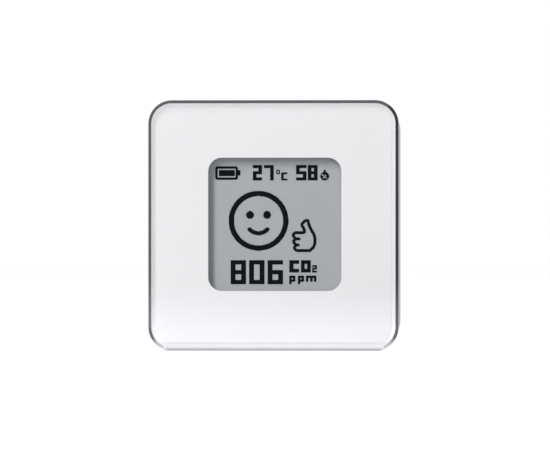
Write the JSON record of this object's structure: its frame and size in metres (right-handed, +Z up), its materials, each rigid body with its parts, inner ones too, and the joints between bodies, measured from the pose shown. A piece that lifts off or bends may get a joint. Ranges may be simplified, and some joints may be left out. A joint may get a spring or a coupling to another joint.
{
  "type": "air quality monitor",
  "caption": "Small square air quality monitor: clear front plate with white back print, recessed e-paper display, white two-shell body, vents, sliding battery door and reset button.",
  "frame": {"origin": "middle of the base, on the surface the monitor stands on", "axes": "+Z up, the display faces -Y, +X to the viewer's right"},
  "size_m": [0.056, 0.024, 0.056],
  "materials": {
    "clear_acrylic": "clear, polished, with a chamfered edge",
    "back_print": "white back print under the clear plate",
    "white_plastic": "moulded, fine even grain",
    "foam": "closed-cell foam",
    "display_film": "matt grey e-paper film with black marks",
    "display_glass": "thin cut glass",
    "ribbon": "amber polyimide film",
    "connector_plastic": "moulded",
    "board": "solder mask on glass laminate",
    "chip": "moulded package",
    "tinned_steel": "tinned sheet",
    "screw_steel": "zinc plated",
    "gold_plate": "gold plated",
    "filter_membrane": "white woven membrane",
    "sensor_white": "moulded",
    "switch_black": "moulded",
    "vent_mesh": "fine woven mesh",
    "cell_sleeve": "printed sleeve on a steel can",
    "contact_nickel": "nickel plated spring strip",
    "button_grey": "moulded"
  },
  "bodies": {
    "body": {"front_plate": "clear_acrylic", "plate_print": "back_print", "front_frame": "white_plastic", "display_gasket": "foam", "display_film": "display_film", "display_panel": "display_glass", "display_flex": "ribbon", "flex_connector": "connector_plastic", "main_board": "board", "board_components": "chip", "radio_module": "tinned_steel", "board_screws": "screw_steel", "co2_board": "board", "co2_pins": "gold_plate", "co2_cell": "gold_plate", "co2_filter": "filter_membrane", "humidity_sensor": "sensor_white", "tact_switch": "switch_black", "rear_housing": "white_plastic", "vent_screens": "vent_mesh", "battery_lower": "cell_sleeve", "battery_upper": "cell_sleeve", "contact_bridge": "contact_nickel", "contact_negative": "contact_nickel", "contact_positive": "contact_nickel", "battery_springs": "contact_nickel", "case_screws": "screw_steel"},
    "battery_door": {"battery_door": "white_plastic"},
    "reset_button": {"reset_button": "button_grey", "switch_plunger": "switch_black"}
  },
  "joints": [
    {"name": "door_slide", "type": "slide", "parent": "body", "child": "battery_door", "axis": [1, 0, 0], "range_m": [0, 0.054]},
    {"name": "reset_press", "type": "slide", "parent": "body", "child": "reset_button", "axis": [0, 0, -1], "range_m": [0, 0.0006], "stiffness_N_per_m": 1500}
  ]
}
